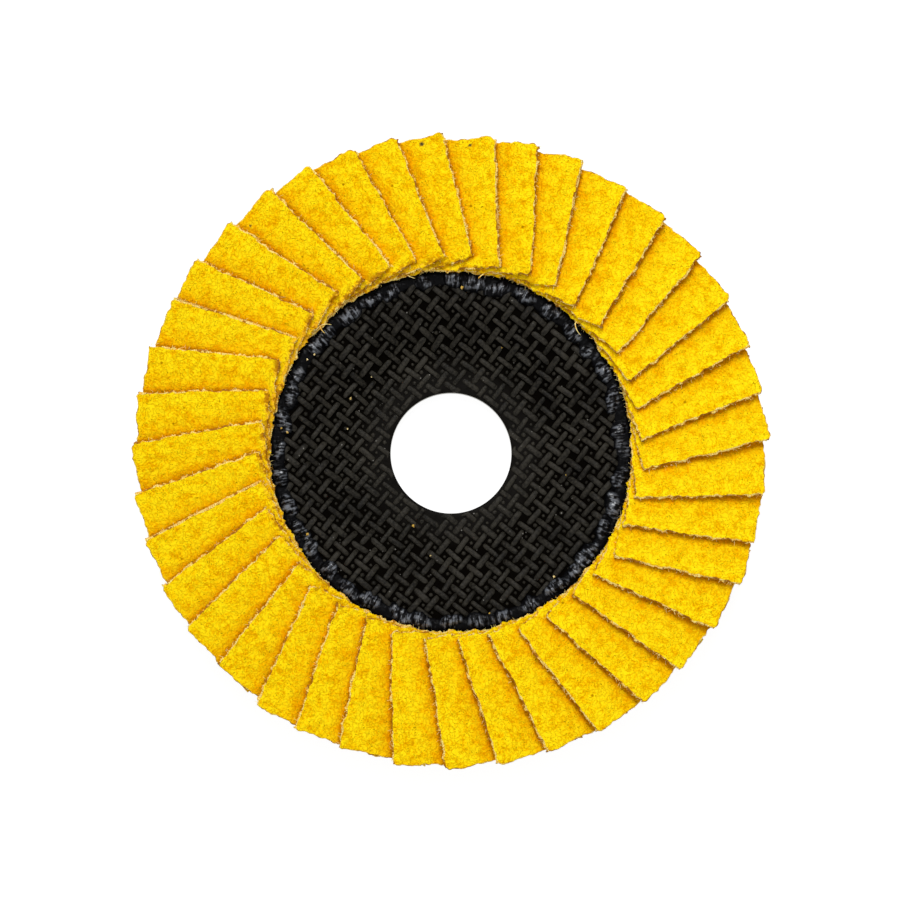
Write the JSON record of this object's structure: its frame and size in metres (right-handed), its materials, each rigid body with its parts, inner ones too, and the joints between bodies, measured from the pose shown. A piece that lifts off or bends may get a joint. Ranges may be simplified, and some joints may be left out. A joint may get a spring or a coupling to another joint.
{
  "type": "flap disc",
  "caption": "Round abrasive flap disc: overlapping cloth flaps glued in a ring on a dished black plate with a steel-lined centre bore.",
  "frame": {"origin": "on the bore's axis, at the back face of the hub", "axes": "+Z along the bore's axis, towards the working side; +Y is a fixed but arbitrary direction in the disc's plane"},
  "size_m": [0.1157, 0.1157, 0.0119],
  "materials": {
    "plate": "matt black resin moulded over woven glass",
    "strands": "black resin-coated glass strands",
    "steel": "plain pressed sheet steel",
    "glue": "glossy black cured adhesive",
    "abrasive": "yellow grit on tan cotton cloth"
  },
  "bodies": {
    "root": {"backing_plate": "plate", "glass_strands": "strands", "bore_ring": "steel", "adhesive_bed": "glue", "flap_01": "abrasive", "flap_02": "abrasive", "flap_03": "abrasive", "flap_04": "abrasive", "flap_05": "abrasive", "flap_06": "abrasive", "flap_07": "abrasive", "flap_08": "abrasive", "flap_09": "abrasive", "flap_10": "abrasive", "flap_11": "abrasive", "flap_12": "abrasive", "flap_13": "abrasive", "flap_14": "abrasive", "flap_15": "abrasive", "flap_16": "abrasive", "flap_17": "abrasive", "flap_18": "abrasive", "flap_19": "abrasive", "flap_20": "abrasive", "flap_21": "abrasive", "flap_22": "abrasive", "flap_23": "abrasive", "flap_24": "abrasive", "flap_25": "abrasive", "flap_26": "abrasive", "flap_27": "abrasive", "flap_28": "abrasive", "flap_29": "abrasive", "flap_30": "abrasive", "flap_31": "abrasive", "flap_32": "abrasive", "flap_33": "abrasive", "flap_34": "abrasive", "flap_35": "abrasive", "flap_36": "abrasive", "flap_37": "abrasive", "flap_38": "abrasive", "flap_39": "abrasive", "flap_40": "abrasive"}
  },
  "joints": []
}
